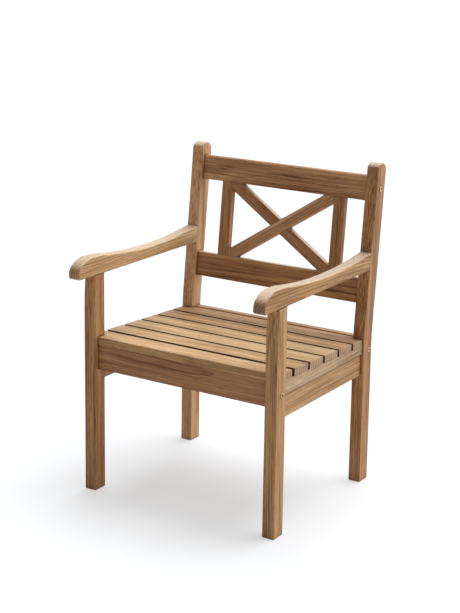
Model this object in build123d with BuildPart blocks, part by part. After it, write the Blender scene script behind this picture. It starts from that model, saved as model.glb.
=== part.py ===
"""Teak garden armchair with a crossed back, modelled as the pieces it is made of.

X runs across the chair, Y from front to back and Z up. The origin is on the floor, in the
middle of the chair's outline. All sizes are millimetres.
"""
import os
from math import atan2, cos, degrees, hypot, radians, sin, tan

from build123d import *

os.makedirs("parts", exist_ok=True)

# Overall sizes
WIDTH = 585.0            # across the outer faces of the legs
FRAME_DEPTH = 494.5      # front of the front legs to back of the rear posts, at the floor
BACK_HEIGHT = 868.0      # floor to the crown of the rear posts
SEAT_HEIGHT = 422.0      # floor to the front edge of the seat
ARM_HEIGHT = 588.0       # floor to the underside of the arms

# Legs and posts
LEG_WIDTH = 34.0         # legs, posts and arms share this width
LEG_DEPTH = 43.0
POST_DEPTH = 44.0
LEG_RELIEF = 5.0         # the front face eases back this far just under the arm
RELIEF_LENGTH = 108.0
BACK_RAKE = 6.3          # degrees
BEND_BELOW_SEAT = 6.0
BEND_RADIUS = 500.0
CROWN_RISE = 13.0        # height of the rounded post top over its shoulders
SHOULDER_ROUND = 9.0
FOOT_CHAMFER = 1.5
ARRIS = 2.0              # rounding of the long edges

# Arms
ARM_NOSE = 63.0          # overhang in front of the legs
ARM_FRONT_THICK = 50.5
ARM_MID_THICK = 31.0
ARM_REAR_THICK = 44.0    # where the straight end begins
ARM_REAR_STRAIGHT = 20.0
ARM_TRIM = 12.0          # taken off the blank when its end is cut to the rake of the post
CREST_LENGTH = 88.0      # level stretch behind the tip of the nose
DIP_FROM_POST = 210.0    # lowest point of the top, measured from the post
NOSE_SLOPE = (33.5, 23.4)    # length and drop of the slope that the nose is rounded from
NOSE_FRONT_ROUND = 27.0
NOSE_TOP_ROUND = 80.0
NOSE_UNDER_ROUND = 7.0
CREST_ROUND = 200.0
ARM_ARRIS = 3.0

# Rails and stiles of the back
RAIL_HEIGHT = 68.0
RAIL_THICK = 21.0
POST_ABOVE_RAIL = 35.0   # from the top rail to the crown of the posts
TOP_RAIL_ROUND = 8.5
LOWER_RAIL_RISE = 79.0   # from the bend of the posts up to the lower rail
STILE_WIDTH = 34.0
STILE_THICK = 18.0
STILE_GAP = 64.5         # clear width between a post and its stile
BRACE_WIDTH = 33.0
BRACE_ARRIS = 1.5

# Seat
SEAT_FALL = 2.65         # degrees down towards the back
SLAT_COUNT = 6
SLAT_GAP = 9.8
FRONT_GAP = 13.5         # behind the front slat
SLAT_THICK = 20.0
SLAT_INSET = 5.0         # slat ends inside the outer faces of the legs
SLAT_SETBACK = 13.5      # front edge of the seat behind the front of the legs
SLAT_ROUND = 1.5
NOTCH_PLAY = 1.5         # room round the legs and posts
APRON_SETBACK = 15.0
REAR_RAIL_INSET = 3.5    # rear seat rail inside the back of the posts
REAR_RAIL_GAP = 6.0      # between the last slat and the rear seat rail
REAR_RAIL_PROUD = 1.0    # its top above the line of the slats
BEARER_FRONT_HEIGHT = 40.0
BEARER_WIDTH = 28.0      # its outer face is flush with the ends of the slats
BEARER_END_PLAY = 0.5
SIDE_RAIL_HEIGHT = 59.0
SIDE_RAIL_THICK = 20.0
SIDE_RAIL_INSET = 9.0

# Joints
FIT = 0.15               # clearance round tenons, dowels and nuts
TENON_THICK = 10.0
SIDE_TENON_LENGTH = 24.0
SIDE_TENON_HEIGHT = 34.0
SIDE_TENON_SHOULDER = 5.0
ARM_TENON = (14.0, 22.0, 22.0)   # width, depth and height
BACK_TENON_LENGTH = 15.0
BACK_TENON_HEIGHT = 48.0
STILE_TENON_LENGTH = 14.0
STILE_TENON_WIDTH = 22.0
ARM_DOWEL_RADIUS = 5.0
ARM_DOWEL_LENGTH = 50.0
ARM_DOWEL_LOW = 14.0     # first dowel above the underside of the arm
ARM_DOWEL_PITCH = 18.0
LOCATING_RADIUS = 4.0
LOCATING_IN_LEG = 12.0
LOCATING_IN_RAIL = 18.0
LOCATING_SPREAD = 21.0   # to each side of the bolt
BRACE_DOWEL_RADIUS = 3.0
BRACE_DOWEL_LENGTH = 22.0
BRACE_DOWEL_INSET = 9.0
BEARER_DOWEL_RADIUS = 4.0
BEARER_DOWEL_LENGTH = 30.0
BEARER_DOWEL_GAPS = (0, 2, 4)    # seat gaps that the bearer dowels stand under

# Connector bolts, barrel nuts and screws
BOLT_RADIUS = 3.0
BOLT_PLAY = 0.3
BOLT_PAST_NUT = 8.0
HEAD_RADIUS = 8.0
HEAD_THICK = 2.2
HEAD_SINK = 1.0
HEAD_ROUND = 0.8
SOCKET_ACROSS = 5.0      # hexagon socket, across its flats
SOCKET_DEPTH = 1.6
NUT_RADIUS = 5.0
NUT_LENGTH = 14.0
NUT_RECESS = 3.0
NUT_SETBACK = 36.0       # from the end of the rail
NUT_SLOT = (1.6, 1.2)    # width and depth of the driver slot
THREAD_PLAY = 0.05
SCREW_RADIUS = 2.0
SCREW_LENGTH = 32.0
SCREW_BITE = 13.0        # into the slat
SCREW_HEAD_RADIUS = 4.0
SCREW_HEAD_HEIGHT = 2.4
SCREW_TIP = (4.0, 0.4)   # length of the point, and radius of its end
CROSS_SLOT = (4.0, 1.0, 1.2)     # length, width and depth

# Places worked out from those sizes
half = WIDTH / 2
leg_in = half - LEG_WIDTH
leg_mid = half - LEG_WIDTH / 2
rake = radians(BACK_RAKE)
fall = radians(SEAT_FALL)
bend_height = SEAT_HEIGHT - BEND_BELOW_SEAT

crown_radius = ((POST_DEPTH / 2) ** 2 + CROWN_RISE ** 2) / (2 * CROWN_RISE)
crown_centre = (BACK_HEIGHT - crown_radius - bend_height + POST_DEPTH / 2 * sin(rake)) / cos(rake)
crown = crown_centre + crown_radius
shoulder = crown - CROWN_RISE

back_reach = FRAME_DEPTH - POST_DEPTH + shoulder * sin(rake) + POST_DEPTH * cos(rake)
leg_front = (ARM_NOSE - back_reach) / 2
leg_back = leg_front + LEG_DEPTH
post_back = leg_front + FRAME_DEPTH
post_front = post_back - POST_DEPTH

rail_front = (POST_DEPTH - RAIL_THICK) / 2
rail_back = rail_front + RAIL_THICK
rail_mid = POST_DEPTH / 2
top_rail_top = crown - POST_ABOVE_RAIL
top_rail_low = top_rail_top - RAIL_HEIGHT
low_rail_low = LOWER_RAIL_RISE
low_rail_top = low_rail_low + RAIL_HEIGHT
stile_front = (POST_DEPTH - STILE_THICK) / 2
stile_out = leg_in - STILE_GAP
stile_in = stile_out - STILE_WIDTH
stile_mid = (stile_out + stile_in) / 2

seat_front = leg_front + SLAT_SETBACK
rear_rail_back = post_back - REAR_RAIL_INSET
rear_rail_front = rear_rail_back - RAIL_THICK
seat_depth = (rear_rail_front - REAR_RAIL_GAP - seat_front) / cos(fall)
slat_width = (seat_depth - FRONT_GAP - (SLAT_COUNT - 2) * SLAT_GAP) / SLAT_COUNT
slat_starts = [0.0] + [slat_width + FRONT_GAP + index * (slat_width + SLAT_GAP)
                       for index in range(SLAT_COUNT - 1)]
apron_front = leg_front + APRON_SETBACK
apron_back = apron_front + RAIL_THICK
bearer_front = leg_back + BEARER_END_PLAY
bearer_back = post_front - BEARER_END_PLAY
bearer_out = half - SLAT_INSET
bearer_in = bearer_out - BEARER_WIDTH
bearer_mid = (bearer_out + bearer_in) / 2
side_rail_out = half - SIDE_RAIL_INSET
side_rail_in = side_rail_out - SIDE_RAIL_THICK
side_rail_mid = (side_rail_out + side_rail_in) / 2


def seat_top(y):
    """Height of the seat's top surface at y."""
    return SEAT_HEIGHT - (y - seat_front) * tan(fall)


def seat_under(y):
    """Height of the underside of the slats at y."""
    return seat_top(y) - SLAT_THICK / cos(fall)


def raked(behind, up):
    """Y and Z of a point of the back: behind the posts' front face, and up from their bend."""
    return (
        post_front + up * sin(rake) + behind * cos(rake),
        bend_height + up * cos(rake) - behind * sin(rake),
    )


apron_top = seat_under(apron_front)
apron_low = apron_top - RAIL_HEIGHT
rear_rail_top = seat_top(rear_rail_front) + REAR_RAIL_PROUD
rear_rail_low = rear_rail_top - RAIL_HEIGHT
side_rail_top = seat_under(bearer_front) - BEARER_FRONT_HEIGHT
side_rail_low = side_rail_top - SIDE_RAIL_HEIGHT

# Working planes: across the back, along its face, and along the top of the seat
bend_point = (0, *raked(0, 0))
rake_section = Plane(bend_point, x_dir=(0, cos(rake), -sin(rake)), z_dir=(1, 0, 0))
back_face = Plane(bend_point, x_dir=(1, 0, 0), z_dir=(0, -cos(rake), sin(rake)))
seat_face = Plane((0, seat_front, SEAT_HEIGHT), x_dir=(1, 0, 0), z_dir=(0, sin(fall), cos(fall)))


def block(x, y, z, fit=0.0, mode=Mode.ADD):
    """Square-set block between the two limits given for each of X, Y and Z."""
    with Locations((sum(x) / 2, sum(y) / 2, sum(z) / 2)):
        Box(x[1] - x[0] + 2 * fit, y[1] - y[0] + 2 * fit, z[1] - z[0] + 2 * fit, mode=mode)


def raked_block(x, behind, up, fit=0.0, mode=Mode.ADD):
    """Block square to the raked back, between the limits given for each direction."""
    with Locations(rake_section.location * Pos(sum(behind) / 2, sum(up) / 2, sum(x) / 2)):
        Box(behind[1] - behind[0] + 2 * fit, up[1] - up[0] + 2 * fit, x[1] - x[0] + 2 * fit, mode=mode)


def rods(plane, spots, radius, length, mode=Mode.ADD):
    """Round rods that start on a plane, at the spots given there."""
    with Locations([plane.location * Pos(*spot) for spot in spots]):
        Cylinder(radius, length, align=(Align.CENTER, Align.CENTER, Align.MIN), mode=mode)


def bores(plane, spots, radius, length):
    """Holes that take such rods with the joint clearance all round."""
    rods(plane.offset(-FIT), spots, radius + FIT, length + 2 * FIT, Mode.SUBTRACT)


def mirrored(piece):
    """The left-hand twin of a right-hand piece."""
    with BuildPart() as twin:
        mirror(piece, about=Plane.YZ)
    return twin.part


def save(piece, label):
    """Name a finished piece and write it."""
    piece.label = label
    export_step(piece, f"parts/{label}.step")


def save_pair(piece, label):
    """Write a right-hand piece and its left-hand twin."""
    save(piece, f"{label}_right")
    save(mirrored(piece), f"{label}_left")


def long_edges(part, least):
    """Edges of a straight board that run along it."""
    return part.edges().filter_by(lambda edge: edge.length > least)


# Joints, each defined once and used by both pieces that meet there
leg_top_mid = (leg_front + LEG_RELIEF + leg_back) / 2
arm_tenon = (
    (leg_mid - ARM_TENON[0] / 2, leg_mid + ARM_TENON[0] / 2),
    (leg_top_mid - ARM_TENON[1] / 2, leg_top_mid + ARM_TENON[1] / 2),
    (ARM_HEIGHT, ARM_HEIGHT + ARM_TENON[2]),
)
side_tenon_x = (side_rail_mid - TENON_THICK / 2, side_rail_mid + TENON_THICK / 2)
side_tenon_low = side_rail_low + SIDE_TENON_SHOULDER
side_tenon_z = (side_tenon_low, side_tenon_low + SIDE_TENON_HEIGHT)
front_tenon = (side_tenon_x, (leg_back - SIDE_TENON_LENGTH, leg_back), side_tenon_z)
rear_tenon = (side_tenon_x, (post_front, post_front + SIDE_TENON_LENGTH), side_tenon_z)

low_rail_mid = (low_rail_low + low_rail_top) / 2
back_tenon = (
    (leg_in, leg_in + BACK_TENON_LENGTH),
    (rail_mid - TENON_THICK / 2, rail_mid + TENON_THICK / 2),
    (low_rail_mid - BACK_TENON_HEIGHT / 2, low_rail_mid + BACK_TENON_HEIGHT / 2),
)
stile_tenon_x = (stile_mid - STILE_TENON_WIDTH / 2, stile_mid + STILE_TENON_WIDTH / 2)
stile_tenon_behind = (rail_mid - TENON_THICK / 2, rail_mid + TENON_THICK / 2)
stile_tenon_top = (stile_tenon_x, stile_tenon_behind, (top_rail_low, top_rail_low + STILE_TENON_LENGTH))
stile_tenon_low = (stile_tenon_x, stile_tenon_behind, (low_rail_top - STILE_TENON_LENGTH, low_rail_top))

arm_joint = raked(0, (ARM_HEIGHT - bend_height) / cos(rake))[0]
arm_dowel_spots = [(leg_mid, ARM_HEIGHT + ARM_DOWEL_LOW + step * ARM_DOWEL_PITCH) for step in (0, 1)]
arm_dowels = (Plane.XZ.offset(-arm_joint - ARM_DOWEL_LENGTH / 2), arm_dowel_spots,
              ARM_DOWEL_RADIUS, ARM_DOWEL_LENGTH)

top_rail_mid = (top_rail_low + top_rail_top) / 2
apron_bolt = ((apron_front + apron_back) / 2, (apron_low + apron_top) / 2)
rear_bolt = ((rear_rail_front + rear_rail_back) / 2, (rear_rail_low + rear_rail_top) / 2)
top_bolt = raked(rail_mid, top_rail_mid)
bolt_spots = [apron_bolt, rear_bolt, top_bolt]
nut_x = leg_in - NUT_SETBACK
bolt_tip = nut_x - BOLT_PAST_NUT
head_seat = half - HEAD_SINK


def locating(spots):
    """Locating dowels at the end of a rail, as plane, spots, radius and length."""
    length = LOCATING_IN_LEG + LOCATING_IN_RAIL
    return Plane.YZ.offset(leg_in - LOCATING_IN_RAIL), spots, LOCATING_RADIUS, length


apron_locating = locating([(apron_bolt[0], apron_bolt[1] + side * LOCATING_SPREAD) for side in (-1, 1)])
rear_locating = locating([(rear_bolt[0], rear_bolt[1] + side * LOCATING_SPREAD) for side in (-1, 1)])
top_locating = locating([raked(rail_mid, top_rail_mid + side * LOCATING_SPREAD) for side in (-1, 1)])

brace_dowel_spots = [
    raked(rail_mid, low_rail_top + BRACE_DOWEL_INSET),
    raked(rail_mid, top_rail_low - BRACE_DOWEL_INSET),
]
brace_dowels = (Plane.YZ.offset(stile_in - BRACE_DOWEL_LENGTH / 2), brace_dowel_spots,
                BRACE_DOWEL_RADIUS, BRACE_DOWEL_LENGTH)

gap_middles = [seat_front + (slat_starts[gap] + slat_width + slat_starts[gap + 1]) / 2 * cos(fall)
               for gap in BEARER_DOWEL_GAPS]
bearer_dowels = (Plane.XY.offset(side_rail_top - BEARER_DOWEL_LENGTH / 2),
                 [(side_rail_mid, y) for y in gap_middles], BEARER_DOWEL_RADIUS, BEARER_DOWEL_LENGTH)


def slat_limits(index):
    """Front and back of a slat, as Y."""
    start = seat_front + slat_starts[index] * cos(fall)
    return start, start + slat_width * cos(fall)


def screw_places(index):
    """Y of the two screws that hold one end of a slat down on its bearer."""
    front, back = slat_limits(index)
    front = max(front, bearer_front)
    back = min(back, bearer_back)
    quarter = (back - front) / 4
    return front + quarter, back - quarter


screw_spots = [(bearer_mid, y) for index in range(SLAT_COUNT) for y in screw_places(index)]


def screw_heel(y):
    """Height of the underside of a screw's head."""
    return seat_under(y) + SCREW_BITE - SCREW_LENGTH


def bolt_holes_in_leg(spots):
    """Clearance holes and shallow seats for connector bolts through a leg or post."""
    rods(Plane.YZ.offset(leg_in), spots, BOLT_RADIUS + BOLT_PLAY, LEG_WIDTH, Mode.SUBTRACT)
    rods(Plane.YZ.offset(head_seat), spots, HEAD_RADIUS + FIT, LEG_WIDTH, Mode.SUBTRACT)


def bolt_holes_in_rail(spot, nut_plane, nut_up):
    """Holes for the bolt and its barrel nut at both ends of a bolted rail."""
    for side in (-1, 1):
        bolt_start = min(side * bolt_tip, side * leg_in) - FIT
        bolt_depth = leg_in - bolt_tip + 2 * FIT
        rods(Plane.YZ.offset(bolt_start), [spot], BOLT_RADIUS + BOLT_PLAY, bolt_depth, Mode.SUBTRACT)
        rods(nut_plane.offset(-FIT), [(side * nut_x, nut_up)], NUT_RADIUS + FIT, RAIL_THICK, Mode.SUBTRACT)


def dowel_holes_both_ends(dowels):
    """Holes for locating dowels at both ends of a rail."""
    plane, spots, radius, length = dowels
    bores(plane, spots, radius, length)
    bores(Plane.YZ.offset(-leg_in - LOCATING_IN_LEG), spots, radius, length)


# Planes at the blind end of each pair of barrel nuts, facing the side that the nut goes in by
nut_depth = NUT_RECESS + NUT_LENGTH
apron_nuts = Plane((0, apron_back - nut_depth, 0), x_dir=(-1, 0, 0), z_dir=(0, 1, 0))
rear_nuts = Plane((0, rear_rail_front + nut_depth, 0), x_dir=(1, 0, 0), z_dir=(0, -1, 0))
top_nuts = Plane((0, *raked(rail_back - nut_depth, 0)), x_dir=(-1, 0, 0), z_dir=(0, cos(rake), -sin(rake)))
nut_rows = [(apron_nuts, apron_bolt[1]), (rear_nuts, rear_bolt[1]), (top_nuts, top_rail_mid)]

# Front legs
relief_start = ARM_HEIGHT - RELIEF_LENGTH
with BuildPart() as front_leg:
    with BuildSketch(Plane.YZ.offset(leg_in)):
        with BuildLine():
            Polyline(
                (leg_front + LEG_RELIEF, ARM_HEIGHT), (leg_back, ARM_HEIGHT), (leg_back, 0),
                (leg_front, 0), (leg_front, relief_start),
            )
            TangentArc((leg_front, relief_start), (leg_front + LEG_RELIEF, ARM_HEIGHT), tangent=(0, 1))
        make_face()
    extrude(amount=LEG_WIDTH)
    leg_sides = front_leg.faces().filter_by(Axis.X)
    fillet([edge for side in leg_sides for edge in side.edges().sort_by(Axis.Z)[1:-1]], ARRIS)
    chamfer(front_leg.faces().sort_by(Axis.Z)[0].edges(), FOOT_CHAMFER)
    block(*arm_tenon)
    block(*front_tenon, fit=FIT, mode=Mode.SUBTRACT)
    bolt_holes_in_leg([apron_bolt])
    bores(*apron_locating)
save_pair(front_leg.part, "front_leg")

# Rear posts
with BuildPart() as rear_post:
    with BuildSketch(Plane.YZ.offset(leg_in)) as post_side:
        with BuildLine():
            Polyline(
                raked(0, shoulder), (post_front, bend_height), (post_front, 0), (post_back, 0),
                raked(POST_DEPTH, POST_DEPTH * tan(rake / 2)), raked(POST_DEPTH, shoulder),
            )
            ThreePointArc(raked(POST_DEPTH, shoulder), raked(rail_mid, crown), raked(0, shoulder))
        make_face()
        fillet(post_side.vertices().sort_by(Axis.Y)[2:4], BEND_RADIUS)
        fillet(post_side.vertices().sort_by(Axis.Y)[-2:], SHOULDER_ROUND)
    extrude(amount=LEG_WIDTH)
    post_sides = rear_post.faces().filter_by(Axis.X)
    fillet([edge for side in post_sides for edge in side.edges().sort_by(Axis.Z)[1:]], ARRIS)
    chamfer(rear_post.faces().sort_by(Axis.Z)[0].edges(), FOOT_CHAMFER)
    block(*rear_tenon, fit=FIT, mode=Mode.SUBTRACT)
    raked_block(*back_tenon, fit=FIT, mode=Mode.SUBTRACT)
    bolt_holes_in_leg([rear_bolt, top_bolt])
    bores(*rear_locating)
    bores(*top_locating)
    bores(*arm_dowels)
save_pair(rear_post.part, "rear_post")

# Arms
arm_tip = leg_front - ARM_NOSE
arm_crest = ARM_HEIGHT + ARM_FRONT_THICK
arm_rise = raked(0, (ARM_HEIGHT + ARM_REAR_THICK - bend_height) / cos(rake))[0] - ARM_REAR_STRAIGHT
with BuildPart() as arm:
    with BuildSketch(Plane.YZ.offset(leg_in)) as arm_side:
        with BuildLine():
            dip = ThreePointArc(
                (arm_tip + CREST_LENGTH, arm_crest),
                (post_front - DIP_FROM_POST, ARM_HEIGHT + ARM_MID_THICK),
                (arm_rise, ARM_HEIGHT + ARM_REAR_THICK),
            )
            end = Line(dip @ 1, dip @ 1 + (dip % 1) * (ARM_REAR_STRAIGHT + ARM_TRIM)) @ 1
            Polyline(
                end, (end.X, ARM_HEIGHT), (arm_tip, ARM_HEIGHT), (arm_tip, arm_crest - NOSE_SLOPE[1]),
                (arm_tip + NOSE_SLOPE[0], arm_crest), dip @ 0,
            )
        make_face()
        fillet(arm_side.vertices().group_by(Axis.X)[0].sort_by(Axis.Y)[0], NOSE_UNDER_ROUND)
        fillet(arm_side.vertices().group_by(Axis.X)[0].sort_by(Axis.Y)[-1], NOSE_FRONT_ROUND)
        fillet(arm_side.vertices().group_by(Axis.Y)[-1].sort_by(Axis.X)[0], NOSE_TOP_ROUND)
        fillet(arm_side.vertices().group_by(Axis.Y)[-1].sort_by(Axis.X)[-1], CREST_ROUND)
    extrude(amount=LEG_WIDTH)
    arm_sides = arm.faces().filter_by(Axis.X)
    fillet([edge for side in arm_sides for edge in side.edges().sort_by(Axis.Y)[:-1]], ARM_ARRIS)
    split(bisect_by=back_face, keep=Keep.TOP)
    block(*arm_tenon, fit=FIT, mode=Mode.SUBTRACT)
    bores(*arm_dowels)
save_pair(arm.part, "arm")

# Side rails
with BuildPart() as side_rail:
    block((side_rail_in, side_rail_out), (leg_back, post_front), (side_rail_low, side_rail_top))
    fillet(side_rail.edges().filter_by(Axis.Y), ARRIS)
    block(*front_tenon)
    block(*rear_tenon)
    bores(*bearer_dowels)
save_pair(side_rail.part, "side_rail")

# Seat bearers
with BuildPart() as seat_bearer:
    with BuildSketch(Plane.YZ.offset(bearer_in)):
        with BuildLine():
            Polyline(
                (bearer_front, side_rail_top), (bearer_back, side_rail_top),
                (bearer_back, seat_under(bearer_back)), (bearer_front, seat_under(bearer_front)),
                close=True,
            )
        make_face()
    extrude(amount=BEARER_WIDTH)
    fillet(seat_bearer.edges().filter_by(Axis.Y), ARRIS)
    bores(*bearer_dowels)
    for spot in screw_spots:
        heel = screw_heel(spot[1])
        rods(Plane.XY.offset(heel), [spot], SCREW_RADIUS + FIT, SCREW_LENGTH, Mode.SUBTRACT)
        clear = heel + SCREW_HEAD_HEIGHT - side_rail_top
        rods(Plane.XY.offset(side_rail_top), [spot], SCREW_HEAD_RADIUS + FIT, clear, Mode.SUBTRACT)
save_pair(seat_bearer.part, "seat_bearer")

# Front apron, its top cut to the fall of the seat
with BuildPart() as front_apron:
    with BuildSketch(Plane.YZ.offset(-leg_in)):
        with BuildLine():
            Polyline(
                (apron_front, apron_low), (apron_back, apron_low), (apron_back, seat_under(apron_back)),
                (apron_front, apron_top), close=True,
            )
        make_face()
    extrude(amount=2 * leg_in)
    fillet(front_apron.edges().filter_by(Axis.X).group_by(Axis.Z)[0], ARRIS)
    bolt_holes_in_rail(apron_bolt, apron_nuts, apron_bolt[1])
    dowel_holes_both_ends(apron_locating)
save(front_apron.part, "front_apron")

# Rear seat rail
with BuildPart() as rear_seat_rail:
    block((-leg_in, leg_in), (rear_rail_front, rear_rail_back), (rear_rail_low, rear_rail_top))
    fillet(rear_seat_rail.edges().filter_by(Axis.X), ARRIS)
    bolt_holes_in_rail(rear_bolt, rear_nuts, rear_bolt[1])
    dowel_holes_both_ends(rear_locating)
save(rear_seat_rail.part, "rear_seat_rail")

# Top rail
with BuildPart() as top_rail:
    with BuildSketch(rake_section.offset(-leg_in)) as top_section:
        with Locations((rail_mid, top_rail_mid)):
            Rectangle(RAIL_THICK, RAIL_HEIGHT)
        fillet(top_section.vertices().group_by(Axis.Y)[-1], TOP_RAIL_ROUND)
        fillet(top_section.vertices().group_by(Axis.Y)[0], ARRIS)
    extrude(amount=2 * leg_in)
    bolt_holes_in_rail(top_bolt, top_nuts, top_rail_mid)
    dowel_holes_both_ends(top_locating)
    raked_block(*stile_tenon_top, fit=FIT, mode=Mode.SUBTRACT)
    mirror(top_rail.part, about=Plane.YZ, mode=Mode.INTERSECT)
save(top_rail.part, "top_rail")

# Lower back rail
with BuildPart() as lower_back_rail:
    with BuildSketch(rake_section.offset(-leg_in)) as low_section:
        with Locations((rail_mid, low_rail_mid)):
            Rectangle(RAIL_THICK, RAIL_HEIGHT)
        fillet(low_section.vertices(), ARRIS)
    extrude(amount=2 * leg_in)
    raked_block((-back_tenon[0][1], back_tenon[0][1]), *back_tenon[1:])
    raked_block(*stile_tenon_low, fit=FIT, mode=Mode.SUBTRACT)
    mirror(lower_back_rail.part, about=Plane.YZ, mode=Mode.INTERSECT)
save(lower_back_rail.part, "lower_back_rail")

# Stiles of the back
panel_face = back_face.offset(-stile_front)
with BuildPart() as back_stile:
    with BuildSketch(panel_face):
        with Locations((stile_mid, (low_rail_top + top_rail_low) / 2)):
            Rectangle(STILE_WIDTH, top_rail_low - low_rail_top)
    extrude(amount=-STILE_THICK)
    fillet(long_edges(back_stile, 2 * STILE_WIDTH), BRACE_ARRIS)
    raked_block(*stile_tenon_top)
    raked_block(*stile_tenon_low)
    bores(*brace_dowels)
save_pair(back_stile.part, "back_stile")

# Crossed braces, halved into each other where they meet
opening = (2 * stile_in, top_rail_low - low_rail_top)
opening_middle = (0, (low_rail_top + top_rail_low) / 2)
brace_angle = degrees(atan2(opening[1], opening[0]))
brace_length = hypot(*opening) + BRACE_WIDTH


def cross_brace(side, lap_front, lap_back):
    """Brace from corner to corner, cut away between two depths where the other one passes."""
    with BuildPart() as brace:
        with BuildSketch(panel_face):
            with Locations(opening_middle):
                Rectangle(*opening)
                Rectangle(brace_length, BRACE_WIDTH, rotation=side * brace_angle, mode=Mode.INTERSECT)
        extrude(amount=-STILE_THICK)
        fillet(long_edges(brace, opening[0] / 2), BRACE_ARRIS)
        with BuildSketch(panel_face.offset(-lap_front)):
            with Locations(opening_middle):
                Rectangle(brace_length, BRACE_WIDTH + 2 * FIT, rotation=-side * brace_angle)
        extrude(amount=lap_front - lap_back, mode=Mode.SUBTRACT)
        bores(*brace_dowels)
        bores(Plane.YZ.offset(-stile_in - BRACE_DOWEL_LENGTH / 2), *brace_dowels[1:])
    return brace.part


save(cross_brace(1, STILE_THICK / 2 - FIT / 2, STILE_THICK), "cross_brace_front")
save(cross_brace(-1, 0, STILE_THICK / 2 + FIT / 2), "cross_brace_rear")

# Seat slats, the end ones notched round the legs and posts
for index in range(SLAT_COUNT):
    with BuildPart() as seat_slat:
        with BuildSketch(seat_face):
            with Locations((0, slat_starts[index] + slat_width / 2)):
                Rectangle(2 * (half - SLAT_INSET), slat_width)
        extrude(amount=-SLAT_THICK)
        fillet(seat_slat.faces().sort_by(Axis.Z)[-1].edges(), SLAT_ROUND)
        for side in (-1, 1):
            notch_x = sorted((side * (leg_in - NOTCH_PLAY), side * half))
            notch_z = (0, SEAT_HEIGHT)
            block(notch_x, (leg_front, leg_back + NOTCH_PLAY), notch_z, mode=Mode.SUBTRACT)
            block(notch_x, (post_front - NOTCH_PLAY, post_back), notch_z, mode=Mode.SUBTRACT)
            for y in screw_places(index):
                pilot = Plane.XY.offset(screw_heel(y))
                bores(pilot, [(side * bearer_mid, y)], SCREW_RADIUS, SCREW_LENGTH)
    save(seat_slat.part, f"seat_slat_{index + 1}")

# Brass connector bolts
with BuildPart() as connector_bolts:
    rods(Plane.YZ.offset(head_seat), bolt_spots, HEAD_RADIUS, HEAD_THICK)
    fillet(connector_bolts.faces().filter_by(Axis.X).group_by(Axis.X)[-1].edges(), HEAD_ROUND)
    with BuildSketch(Plane.YZ.offset(head_seat + HEAD_THICK)):
        with Locations(*bolt_spots):
            RegularPolygon(SOCKET_ACROSS / 2, 6, major_radius=False)
    extrude(amount=-SOCKET_DEPTH, mode=Mode.SUBTRACT)
    rods(Plane.YZ.offset(bolt_tip), bolt_spots, BOLT_RADIUS, head_seat - bolt_tip)
    mirror(about=Plane.YZ)
save(connector_bolts.part, "connector_bolts")

# Barrel nuts that the bolts pull against
with BuildPart() as barrel_nuts:
    for plane, up in nut_rows:
        ends = [(side * nut_x, up) for side in (-1, 1)]
        rods(plane, ends, NUT_RADIUS, NUT_LENGTH)
        with BuildSketch(plane.offset(NUT_LENGTH)):
            with Locations(*ends):
                Rectangle(2 * NUT_RADIUS, NUT_SLOT[0])
        extrude(amount=-NUT_SLOT[1], mode=Mode.SUBTRACT)
    rods(Plane.YZ.offset(-leg_in), bolt_spots, BOLT_RADIUS + THREAD_PLAY, 2 * leg_in, Mode.SUBTRACT)
save(barrel_nuts.part, "barrel_nuts")

# Screws that hold the slats down, driven up through the bearers
with BuildPart() as slat_screws:
    for spot in screw_spots:
        heel = screw_heel(spot[1])
        with BuildSketch(Plane.XZ.offset(-spot[1])):
            with BuildLine():
                Polyline(
                    (spot[0], heel), (spot[0] + SCREW_HEAD_RADIUS, heel),
                    (spot[0] + SCREW_RADIUS, heel + SCREW_HEAD_HEIGHT),
                    (spot[0] + SCREW_RADIUS, heel + SCREW_LENGTH - SCREW_TIP[0]),
                    (spot[0] + SCREW_TIP[1], heel + SCREW_LENGTH),
                    (spot[0], heel + SCREW_LENGTH), close=True,
                )
            make_face()
        revolve(axis=Axis((spot[0], spot[1], 0), (0, 0, 1)))
        for turn in (0, 90):
            with Locations(Location((spot[0], spot[1], heel), (0, 0, turn))):
                Box(*CROSS_SLOT[:2], 2 * CROSS_SLOT[2], mode=Mode.SUBTRACT)
    mirror(about=Plane.YZ)
save(slat_screws.part, "slat_screws")


def save_dowels(groups, label):
    """Write dowels on the right-hand side, and their twins, as one group."""
    with BuildPart() as dowels:
        for group in groups:
            rods(*group)
        mirror(about=Plane.YZ)
    save(dowels.part, label)


save_dowels([apron_locating, rear_locating, top_locating], "locating_dowels")
save_dowels([arm_dowels], "arm_dowels")
save_dowels([brace_dowels], "brace_dowels")
save_dowels([bearer_dowels], "bearer_dowels")
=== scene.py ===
"""Looks for the garden armchair: oiled teak boards, brass bolt heads and a pale studio floor.

Places are in metres in the chair's own frame: X across it, Y from front to back and Z up.
"""
import math

import bpy
from mathutils import Matrix, Vector


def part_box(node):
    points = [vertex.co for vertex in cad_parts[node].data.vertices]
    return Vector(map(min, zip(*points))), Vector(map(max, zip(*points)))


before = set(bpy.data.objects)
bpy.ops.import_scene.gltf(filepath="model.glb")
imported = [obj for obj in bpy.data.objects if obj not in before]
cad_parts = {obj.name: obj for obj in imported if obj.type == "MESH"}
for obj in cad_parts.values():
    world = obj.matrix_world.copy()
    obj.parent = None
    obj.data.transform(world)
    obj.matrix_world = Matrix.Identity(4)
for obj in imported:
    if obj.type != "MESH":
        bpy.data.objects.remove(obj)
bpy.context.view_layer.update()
MM = 0.001
UP, FRONT, BACK = Vector((0, 0, 1)), Vector((0, -1, 0)), Vector((0, 1, 0))


def linear(hex_colour):
    """An sRGB hex colour as linear red, green, blue and alpha."""
    channels = [int(hex_colour[i:i + 2], 16) / 255 for i in (1, 3, 5)]
    return [c / 12.92 if c <= 0.04045 else ((c + 0.055) / 1.055) ** 2.4 for c in channels] + [1.0]


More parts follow.
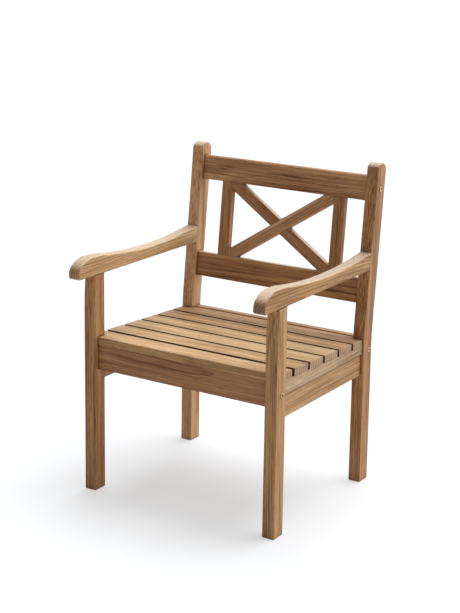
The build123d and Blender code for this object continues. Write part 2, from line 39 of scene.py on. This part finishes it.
def add(tree, kind, values=None, stops=(), **settings):
    """Adds a node, sets its properties and the stops of a ramp, and fills or links its inputs."""
    made = tree.nodes.new(kind)
    for name, value in settings.items():
        setattr(made, name, value)
    for number, (place, colour) in enumerate(stops):
        while len(made.color_ramp.elements) <= number:
            made.color_ramp.elements.new(1.0)
        made.color_ramp.elements[number].position = place
        made.color_ramp.elements[number].color = linear(colour)
    for socket, value in (values or {}).items():
        if isinstance(value, bpy.types.NodeSocket):
            tree.links.new(value, made.inputs[socket])
        else:
            made.inputs[socket].default_value = value
    return made


def new_material(name):
    """A material with no nodes yet, and its node tree."""
    material = bpy.data.materials.new(name)
    material.use_nodes = True
    material.node_tree.nodes.clear()
    return material, material.node_tree


def finish_with(node_name, material):
    """Gives a CAD node that material in place of its plain one."""
    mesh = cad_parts[node_name].data
    mesh.materials.clear()
    mesh.materials.append(material)


NOISE_MEAN = 0.5                  # what a noise texture's values centre on
BUMP_STRENGTH = 0.3               # how much of its depth a relief shows

# Teak, sawn, planed and oiled. Brown growth lines on a honey ground follow each board and arch where the
# saw crossed them, and dark pores give a dry satin look. Cut ends are duller and show the rings, but the
# post tops are painted pale as a painted highlight. Sharp edges are worn pale and also carry a painted
# highlight, some tops are painted paler as a painted sheen, painted shade darkens the corners and the gaps
# between boards, and a painted shadow line runs along some lower edges.
# Width, length and raggedness of the marks in the grain. Streaks and pores are drawn coarser than real
# fibres, so that they show.
STREAK = (2.4 * MM, 420 * MM, 3.0)
PORE = (2.0 * MM, 24 * MM, 1.0)
BAND = (24 * MM, 340 * MM, 2.0)
WANDER = (90 * MM, 450 * MM, 3.0)
BAND_CONTRAST = 1.2
RING_WAVE = 2 * math.pi / 20      # distance between the rings of a wave texture at scale 1
RING_SHARPNESS = 3.0              # each ring darkens slowly and ends at once
RING_MEAN = 1 / (RING_SHARPNESS + 1)
TONE_STOPS = (0.0, 0.5, 1.0)      # where a board's light, middle and dark brown lie
STREAK_RELIEF = 0.4 * MM
EDGE_REACH = 4.5 * MM             # how far wear and the painted edge highlight spread from an edge
CORNER_REACH = 6.5 * MM           # how far painted shade spreads from a corner
REACH_SAMPLES = 4                 # how many times each point looks for an edge or a corner
SEAM_WIDTH = 3.0 * MM             # height of the painted shadow line along a lower edge
OIL_IOR = 1.5
GLOSS_SWING = 0.08                # how much rougher and smoother than its mean a board gets
STREAK_RANGE = (0.3, 0.7)         # values of the streaks between which it does
DULL_SKIN = (0.16, 0.04)          # brightness at which dark skin starts to be dull, and is dullest
DULL_ROUGHNESS = 0.5              # what that adds

PORE_BROWN = "#5A3B22"
# Brown of the painted shade in corners and gaps and of the painted shadow line along lower edges
PAINTED_SHADE_BROWN = "#572504"
# Pale of the painted sheen on tops
PAINTED_SHEEN_PALE = "#EAD8BE"
# A cover over the grain follows a value: where on it the cover starts, where it is full, and how much it
# then hides
# Edges are painted pale: partly wear, partly a painted highlight where they catch the light
WORN_AND_HIGHLIT_EDGE = (0.97, 0.75, 0.7)
END_RINGS = (0.2, 0.9, 0.55)
OPEN_PORES = (0.55, 0.72, 0.4)
# Painted shade in corners and recesses, where less light reaches
PAINTED_CORNER_SHADE = (0.9, 0.45, 0.85)
FACING = (0.5, 0.95)              # where a cover that lies on faces turned one way starts and is full
# Cover of the painted shade on the faces towards the gaps between boards
PAINTED_GAP_SHADE = 0.9
# Cover of the painted shadow line along a lower edge
PAINTED_SEAM_SHADOW = 0.85


def grain_marks(tree, coordinates, size):
    """Noise for one kind of mark, drawn out along the grain to its width, length and raggedness."""
    width, length, raggedness = size
    drawn_out = add(tree, "ShaderNodeVectorMath", {0: coordinates, 1: (width / length, 1, 1)},
                    operation="MULTIPLY").outputs[0]
    return add(tree, "ShaderNodeTexNoise", {
        "Vector": drawn_out, "Scale": 1 / width, "Detail": raggedness,
    }).outputs


def teak(name, turn, heart, slope, figure, tones, finish, painted_top_sheen=0.0, gaps=(), seam=False):
    """A teak board.

    turn lays its length along X. heart is its place in the tree, in millimetres along the trunk and off
    its middle, and slope is how far the saw ran off the grain, up and sideways in degrees. figure is how
    its rings and streaks show, tones are its light, middle and dark brown, and finish is the colour and
    cover of its cut ends, and its roughness. A painted sheen can pale its top. Painted shade darkens the
    faces that gaps names, and a painted shadow line runs along its lower edge where seam says so.
    """
    low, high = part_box(name)
    middle = (low + high) / 2
    along_trunk = Vector((heart[0] * MM, 0, 0))
    off_middle = Vector((0, heart[1] * MM, heart[2] * MM))
    tilt, swing = (math.radians(angle) for angle in slope)
    trunk_turn = Matrix.Rotation(swing, 3, "Z") @ Matrix.Rotation(tilt, 3, "Y")
    ring_spacing, ring_contrast, streak_contrast, reach = figure
    end_colour, end_cover, roughness = finish
    material, tree = new_material("teak_" + name)
    place = add(tree, "ShaderNodeTexCoord").outputs["Object"]
    board = add(tree, "ShaderNodeMapping", {
        "Vector": place,
        "Rotation": turn.to_euler(),
        "Location": along_trunk - turn @ middle,
    }).outputs["Vector"]

    # The grain strays from straight, and each kind of mark is drawn out along it
    wander = grain_marks(tree, board, WANDER)["Color"]
    drift = add(tree, "ShaderNodeVectorMath", {0: wander, 1: (NOISE_MEAN, NOISE_MEAN, NOISE_MEAN)},
                operation="SUBTRACT").outputs[0]
    grown = add(tree, "ShaderNodeVectorMath", {0: drift, 1: (0, reach, reach), 2: board},
                operation="MULTIPLY_ADD").outputs[0]
    streaks, bands, pores = (grain_marks(tree, grown, size)["Fac"] for size in (STREAK, BAND, PORE))
    trunk = add(tree, "ShaderNodeMapping", {
        "Vector": grown,
        "Rotation": trunk_turn.to_euler(),
        "Location": off_middle - trunk_turn @ along_trunk,
    }).outputs["Vector"]
    rings = add(tree, "ShaderNodeTexWave", {"Vector": trunk, "Scale": RING_WAVE / ring_spacing},
                wave_type="RINGS", rings_direction="X", wave_profile="SAW").outputs["Fac"]
    rings = add(tree, "ShaderNodeMath", {0: rings, 1: RING_SHARPNESS}, operation="POWER").outputs[0]

    # Marks darken or lighten the middle brown, which stays the mean of the board
    tone = TONE_STOPS[1] - (streak_contrast + BAND_CONTRAST) * NOISE_MEAN - ring_contrast * RING_MEAN
    for mark, contrast in ((streaks, streak_contrast), (bands, BAND_CONTRAST), (rings, ring_contrast)):
        tone = add(tree, "ShaderNodeMath", {0: mark, 1: contrast, 2: tone},
                   operation="MULTIPLY_ADD").outputs[0]
    skin = add(tree, "ShaderNodeValToRGB", {"Fac": tone}, zip(TONE_STOPS, tones)).outputs["Color"]

    # What lies over the grain: the value that it follows, where it starts and is full, how much it hides
    normal = add(tree, "ShaderNodeNewGeometry").outputs["Normal"]
    rounded = add(tree, "ShaderNodeBevel", {"Radius": EDGE_REACH}, samples=REACH_SAMPLES).outputs["Normal"]
    flat = add(tree, "ShaderNodeVectorMath", {0: rounded, 1: normal},
               operation="DOT_PRODUCT").outputs["Value"]
    open_air = add(tree, "ShaderNodeAmbientOcclusion", {"Distance": CORNER_REACH},
                   samples=REACH_SAMPLES).outputs["AO"]
    along = turn.inverted() @ Vector((1, 0, 0))
    endward = add(tree, "ShaderNodeVectorMath", {0: normal, 1: along},
                  operation="DOT_PRODUCT").outputs["Value"]
    cut = add(tree, "ShaderNodeMath", {0: endward}, operation="ABSOLUTE").outputs[0]
    ringed = add(tree, "ShaderNodeMath", {0: cut, 1: rings}, operation="MULTIPLY").outputs[0]
    covers = [
        # Pale edges: partly wear, partly a painted highlight
        (flat, *WORN_AND_HIGHLIT_EDGE, tones[0]),
        (cut, *FACING, end_cover, end_colour),
        (ringed, *END_RINGS, PORE_BROWN),
    ]
    # A painted sheen pales the top, and painted shade darkens the faces towards the gaps
    on_faces = [(UP, painted_top_sheen, PAINTED_SHEEN_PALE)] if painted_top_sheen else []
    on_faces += [(gap, PAINTED_GAP_SHADE, PAINTED_SHADE_BROWN) for gap in gaps]
    for direction, cover, colour in on_faces:
        turned = add(tree, "ShaderNodeVectorMath", {0: normal, 1: direction},
                     operation="DOT_PRODUCT").outputs["Value"]
        covers.append((turned, *FACING, cover, colour))
    # Open pores, then painted shade in corners and recesses
    covers += [(pores, *OPEN_PORES, PORE_BROWN), (open_air, *PAINTED_CORNER_SHADE, PAINTED_SHADE_BROWN)]
    # A painted shadow line along the lowest edge
    if seam:
        height = add(tree, "ShaderNodeVectorMath", {0: place, 1: UP},
                     operation="DOT_PRODUCT").outputs["Value"]
        covers.append((height, low.z + SEAM_WIDTH, low.z + SEAM_WIDTH / 2, PAINTED_SEAM_SHADOW, PAINTED_SHADE_BROWN))
    for follows, start, full, cover, colour in covers:
        share = add(tree, "ShaderNodeMapRange", {
            "Value": follows, "From Min": start, "From Max": full, "To Max": cover,
        }).outputs["Result"]
        skin = add(tree, "ShaderNodeMix", {"Factor": share, "A": skin, "B": linear(colour)},
                   data_type="RGBA").outputs["Result"]

    # Oil shines between streaks, and painted shade and dark marks are dull, so the darkest skin is roughest
    dull = add(tree, "ShaderNodeMapRange", {
        "Value": skin, "From Min": DULL_SKIN[0], "From Max": DULL_SKIN[1], "To Max": DULL_ROUGHNESS,
    }).outputs["Result"]
    gloss = add(tree, "ShaderNodeMapRange", {
        "Value": streaks, "From Min": STREAK_RANGE[0], "From Max": STREAK_RANGE[1],
        "To Min": roughness - GLOSS_SWING, "To Max": roughness + GLOSS_SWING,
    }).outputs["Result"]
    gloss = add(tree, "ShaderNodeMath", {0: gloss, 1: dull}, operation="ADD", use_clamp=True).outputs[0]
    relief = add(tree, "ShaderNodeBump", {
        "Height": streaks, "Strength": BUMP_STRENGTH, "Distance": STREAK_RELIEF, "Normal": rounded,
    }).outputs["Normal"]
    surface = add(tree, "ShaderNodeBsdfPrincipled", {
        "Base Color": skin, "Roughness": gloss, "IOR": OIL_IOR, "Normal": relief,
    }).outputs["BSDF"]
    add(tree, "ShaderNodeOutputMaterial", {"Surface": surface})
    finish_with(name, material)


# Turns that lay a board's length along X
ALONG_X = Matrix.Identity(3)
ALONG_Y = Matrix.Rotation(math.radians(-90), 3, "Z")
ALONG_Z = Matrix.Rotation(math.radians(90), 3, "Y")
BACK_RAKE = math.radians(6.3)
UPRIGHT = Matrix.Rotation(BACK_RAKE, 3, "X")      # turns the raked back upright
brace_low, brace_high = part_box("cross_brace_front")
BRACE_RISE = math.atan2(brace_high.z - brace_low.z, brace_high.x - brace_low.x)
RISING = Matrix.Rotation(BRACE_RISE, 3, "Y") @ UPRIGHT
FALLING = Matrix.Rotation(-BRACE_RISE, 3, "Y") @ UPRIGHT

# Light, middle and dark brown of a board
STRAW = ("#F1D1A4", "#D3AC80", "#8E6943")
AMBER = ("#EDC694", "#CC9F70", "#865E38")
HONEY = ("#E9BF8C", "#C69767", "#7F5630")
RUSSET = ("#DDAE7A", "#BC8959", "#754A26")
UMBER = ("#D5A674", "#B38154", "#6D4523")
CORN = ("#F6DCB0", "#E0B785", "#96703F")
PEACH = ("#F4CE9F", "#DDAC7F", "#936741")
ASH = ("#E2C6A0", "#C6A37C", "#846541")
GOLD = ("#E3B67E", "#BF905D", "#784F2A")
CHESTNUT = ("#D2A173", "#B27E54", "#6F4324")
TAN = ("#E6B787", "#C38F63", "#7C512E")
FAWN = ("#EABF94", "#C8986F", "#835839")
COCOA = ("#C8966A", "#A8754D", "#683E20")
WHEAT = ("#EDCB9C", "#CDA479", "#89643E")
# Spacing and strength of the growth rings, strength of the streaks, and how far the grain strays sideways
CALM = (6.0 * MM, 0.18, 1.9, 22 * MM)
ARCHED = (8.0 * MM, 0.6, 1.5, 14 * MM)
FAINT = (8.0 * MM, 0.35, 1.4, 14 * MM)
BROAD = (14.0 * MM, 0.5, 1.3, 22 * MM)
GENTLE = (14.0 * MM, 0.36, 1.3, 26 * MM)
STRIPED = (11.0 * MM, 0.2, 1.6, 26 * MM)
# Colour and cover of the cut ends, and roughness of the board
SAWN = ("#9C8268", 0.6, 0.5)
SLAT = ("#BEA88E", 0.55, 0.6)
# The rear posts' tops are painted pale: a painted highlight over their cut ends
POST_PALE_PAINTED_ENDS = ("#F0E2CC", 0.8, 0.48)
LEFT_ARM = ("#A0785C", 0.65, 0.42)
RIGHT_ARM = ("#897463", 0.65, 0.5)

teak("front_leg_left", ALONG_Z, (840, 40, 22), (1, 0), CALM, RUSSET, SAWN, seam=True)
teak("front_leg_right", ALONG_Z, (1270, -30, 36), (1.5, 0), CALM, HONEY, SAWN, seam=True)
teak("rear_post_left", ALONG_Z, (4660, 52, -20), (1, 0), CALM, PEACH, POST_PALE_PAINTED_ENDS, seam=True)
teak("rear_post_right", ALONG_Z, (3410, 38, 26), (1.2, 0), CALM, RUSSET, POST_PALE_PAINTED_ENDS, seam=True)
teak("arm_left", ALONG_Y, (3100, 25, 14), (0.5, -1.6), FAINT, CORN, LEFT_ARM, painted_top_sheen=0.45)
teak("arm_right", ALONG_Y, (3900, 28, 22), (-1, 1.8), ARCHED, GOLD, RIGHT_ARM, painted_top_sheen=0.7)
teak("side_rail_left", ALONG_Y, (4300, 44, 18), (1, 0), CALM, HONEY, SAWN)
teak("side_rail_right", ALONG_Y, (4900, -48, 10), (2, 0), CALM, HONEY, SAWN)
teak("seat_bearer_left", ALONG_Y, (5300, 50, -26), (1, 0), CALM, HONEY, SAWN, seam=True)
teak("seat_bearer_right", ALONG_Y, (5900, 46, 30), (1, 0), CALM, ASH, SAWN, seam=True)
teak("front_apron", ALONG_X, (6300, 34, -20), (0, 0.8), GENTLE, CHESTNUT, SAWN, seam=True)
teak("rear_seat_rail", ALONG_X, (6900, -36, 20), (1, 0), CALM, HONEY, SAWN)
teak("top_rail", ALONG_X, (7670, 60, 14), (1, 0), CALM, TAN, SAWN)
teak("lower_back_rail", ALONG_X, (7900, 34, -16), (1.5, 0), BROAD, RUSSET, SAWN, painted_top_sheen=0.85)
teak("back_stile_left", ALONG_Z @ UPRIGHT, (8300, 40, 20), (1, 0), CALM, UMBER, SAWN)
teak("back_stile_right", ALONG_Z @ UPRIGHT, (8900, -44, 24), (1, 0), CALM, UMBER, SAWN)
teak("cross_brace_front", RISING, (9300, 38, 28), (1, 0), CALM, FAWN, SAWN, painted_top_sheen=0.95)
teak("cross_brace_rear", FALLING, (9900, -38, 32), (1, 0), CALM, COCOA, SAWN, painted_top_sheen=0.95)
teak("seat_slat_1", ALONG_X, (11040, 80, 30), (0.5, 0), STRIPED, AMBER, SLAT, painted_top_sheen=0.12, gaps=[BACK])
teak("seat_slat_2", ALONG_X, (13490, -74, 12), (0.5, 0), STRIPED, WHEAT, SLAT, gaps=[FRONT, BACK])
teak("seat_slat_3", ALONG_X, (14260, 84, -16), (0.5, 0), STRIPED, STRAW, SLAT, gaps=[FRONT, BACK])
teak("seat_slat_4", ALONG_X, (14120, -76, 18), (0.5, 0), STRIPED, STRAW, SLAT, gaps=[FRONT, BACK])
teak("seat_slat_5", ALONG_X, (13780, 78, -22), (0.5, 0), STRIPED, AMBER, SLAT, gaps=[FRONT, BACK])
teak("seat_slat_6", ALONG_X, (13270, -84, 14), (0.5, 0), STRIPED, HONEY, SLAT, gaps=[FRONT])

PATCH_RANGE = (0.35, 0.65)        # values of the patches at which a piece is dullest and brightest
PATCH_RAGGEDNESS = 2.0
HANDLING_WEAR = 0.1               # how much rougher and smoother than its mean a handled piece gets
TOOL_RELIEF = 0.05 * MM


def turned_stock(names, title, pale, deep, roughness, metallic, patch):
    """Turned or drawn stock, dulled in patches of that size by handling and by the tool that made it."""
    material, tree = new_material(title)
    place = add(tree, "ShaderNodeTexCoord").outputs["Object"]
    patches = add(tree, "ShaderNodeTexNoise", {
        "Vector": place, "Scale": 1 / patch, "Detail": PATCH_RAGGEDNESS,
    }).outputs["Fac"]
    colour = add(tree, "ShaderNodeValToRGB", {"Fac": patches},
                 zip(PATCH_RANGE, (deep, pale))).outputs["Color"]
    gloss = add(tree, "ShaderNodeMapRange", {
        "Value": patches, "From Min": PATCH_RANGE[1], "From Max": PATCH_RANGE[0],
        "To Min": roughness - HANDLING_WEAR, "To Max": roughness + HANDLING_WEAR,
    }).outputs["Result"]
    relief = add(tree, "ShaderNodeBump", {
        "Height": patches, "Strength": BUMP_STRENGTH, "Distance": TOOL_RELIEF,
    }).outputs["Normal"]
    surface = add(tree, "ShaderNodeBsdfPrincipled", {
        "Base Color": colour, "Roughness": gloss, "Metallic": metallic, "Normal": relief,
    }).outputs["BSDF"]
    add(tree, "ShaderNodeOutputMaterial", {"Surface": surface})
    for name in names:
        finish_with(name, material)


# Brass bolt heads, turned and left bare: a warm yellow glint a little dulled by handling
turned_stock(["connector_bolts"], "turned_brass", "#E8CB92", "#8A6637", 0.2, 1.0, 3.0 * MM)
# Zinc plated barrel nuts and plain stainless screws: cool grey, half bright
turned_stock(["barrel_nuts"], "zinc_plated_steel", "#C4C6C8", "#A3A6A9", 0.38, 1.0, 2.0 * MM)
turned_stock(["slat_screws"], "stainless_steel", "#BEBDBA", "#9E9D9A", 0.3, 1.0, 2.0 * MM)
# Beech dowels, raw: an even pale brown, seen only where a joint is open
turned_stock(["arm_dowels", "bearer_dowels", "brace_dowels", "locating_dowels"], "raw_beech",
             "#CDAA7E", "#B58E62", 0.7, 0.0, 3.0 * MM)

# Studio: a white floor that keeps a soft shadow, a broad lamp overhead and a little behind the chair, a
# broader one low at its right, and an even pale surround. The camera sees floor and surround as white,
# apart from the shadow. Gloss mirrors them too, but less at the front, where the room is dim.
FLOOR_SIZE = 120.0
FLOOR_GLOW = 0.53                 # added to the floor that the camera sees, to make its lit part white
FLOOR_DEPTHS = (-0.5, 1.5)        # from the dim front of the floor to its white back
SURROUND_DEPTHS = (-0.3, 0.5)     # the same for directions of the surround
FRONT_SHARE = 0.25                # how much of the white is mirrored at the front
SURROUND_LIGHT = 0.172            # how much light the surround gives the chair
WHITE = linear("#FFFFFF")


def white_share(tree, depths):
    """How much of the studio's white a ray meets: all from the camera or through glass, a part in gloss."""
    light_path = add(tree, "ShaderNodeLightPath").outputs
    place = add(tree, "ShaderNodeTexCoord").outputs["Object"]
    backward = add(tree, "ShaderNodeVectorMath", {0: place, 1: BACK},
                   operation="DOT_PRODUCT").outputs["Value"]
    lit_part = add(tree, "ShaderNodeMapRange", {
        "Value": backward, "From Min": depths[0], "From Max": depths[1], "To Min": FRONT_SHARE,
    }).outputs["Result"]
    mirrored = add(tree, "ShaderNodeMath", {0: light_path["Is Glossy Ray"], 1: lit_part},
                   operation="MULTIPLY").outputs[0]
    direct = add(tree, "ShaderNodeMath", {
        0: light_path["Is Camera Ray"], 1: light_path["Is Transmission Ray"],
    }, operation="MAXIMUM").outputs[0]
    return add(tree, "ShaderNodeMath", {0: direct, 1: mirrored}, operation="MAXIMUM").outputs[0]


scene = bpy.context.scene
scene.view_settings.view_transform = "Standard"

bpy.ops.mesh.primitive_plane_add(size=FLOOR_SIZE)
floor = bpy.context.object
floor.name = "floor"
# White paper, matt and smooth: an even pale ground on which only the shadow shows
paper, tree = new_material("white_paper_floor")
shadow_keeper = add(tree, "ShaderNodeBsdfDiffuse", {"Color": linear("#B8BBBF")}).outputs["BSDF"]
glow = add(tree, "ShaderNodeEmission", {"Color": WHITE, "Strength": FLOOR_GLOW}).outputs["Emission"]
shown = add(tree, "ShaderNodeAddShader", {0: shadow_keeper, 1: glow}).outputs[0]
bounce = add(tree, "ShaderNodeBsdfDiffuse", {"Color": linear("#C9BFB2")}).outputs["BSDF"]
white = white_share(tree, FLOOR_DEPTHS)
both = add(tree, "ShaderNodeMixShader", {0: white, 1: bounce, 2: shown}).outputs[0]
add(tree, "ShaderNodeOutputMaterial", {"Surface": both})
floor.data.materials.append(paper)

world = bpy.data.worlds.new("pale_surround")
scene.world = world
world.use_nodes = True
tree = world.node_tree
tree.nodes.clear()
white = white_share(tree, SURROUND_DEPTHS)
strength = add(tree, "ShaderNodeMath", {0: white, 1: SURROUND_LIGHT}, operation="MAXIMUM").outputs[0]
surround = add(tree, "ShaderNodeBackground", {"Color": WHITE, "Strength": strength}).outputs["Background"]
add(tree, "ShaderNodeOutputWorld", {"Surface": surround})

# Where each lamp stands from the chair, about how bright a white board that faces it gets, and its spread
# in degrees
for name, towards, level, spread in (
    ("overhead_softbox", (0.06, 0.36, 0.89), 0.89, 50),
    ("right_softbox", (0.9, 0.1, 0.2), 0.31, 90),
):
    lamp = bpy.data.objects.new(name, bpy.data.lights.new(name, "SUN"))
    lamp.data.energy = level * math.pi
    lamp.data.angle = math.radians(spread)
    lamp.rotation_euler = Vector(towards).to_track_quat("Z", "Y").to_euler()
    scene.collection.objects.link(lamp)

# The photo's viewpoint, with the lens shifted down a little
CAMERA_PLACE = (2.0239, -3.1828, 1.5579)
YAW = math.radians(32.459)
PITCH = math.radians(90 - 12.685)
ROLL = math.radians(0.849)
camera = bpy.data.objects.new("camera", bpy.data.cameras.new("camera"))
camera.data.lens = 87.6
camera.data.sensor_width = 36.0
camera.data.shift_y = -0.13
camera.data.clip_end = 200.0      # past the far corners of the floor
camera.matrix_world = (
    Matrix.Translation(CAMERA_PLACE)
    @ Matrix.Rotation(YAW, 4, "Z")
    @ Matrix.Rotation(PITCH, 4, "X")
    @ Matrix.Rotation(ROLL, 4, "Z")
)
scene.collection.objects.link(camera)
scene.camera = camera
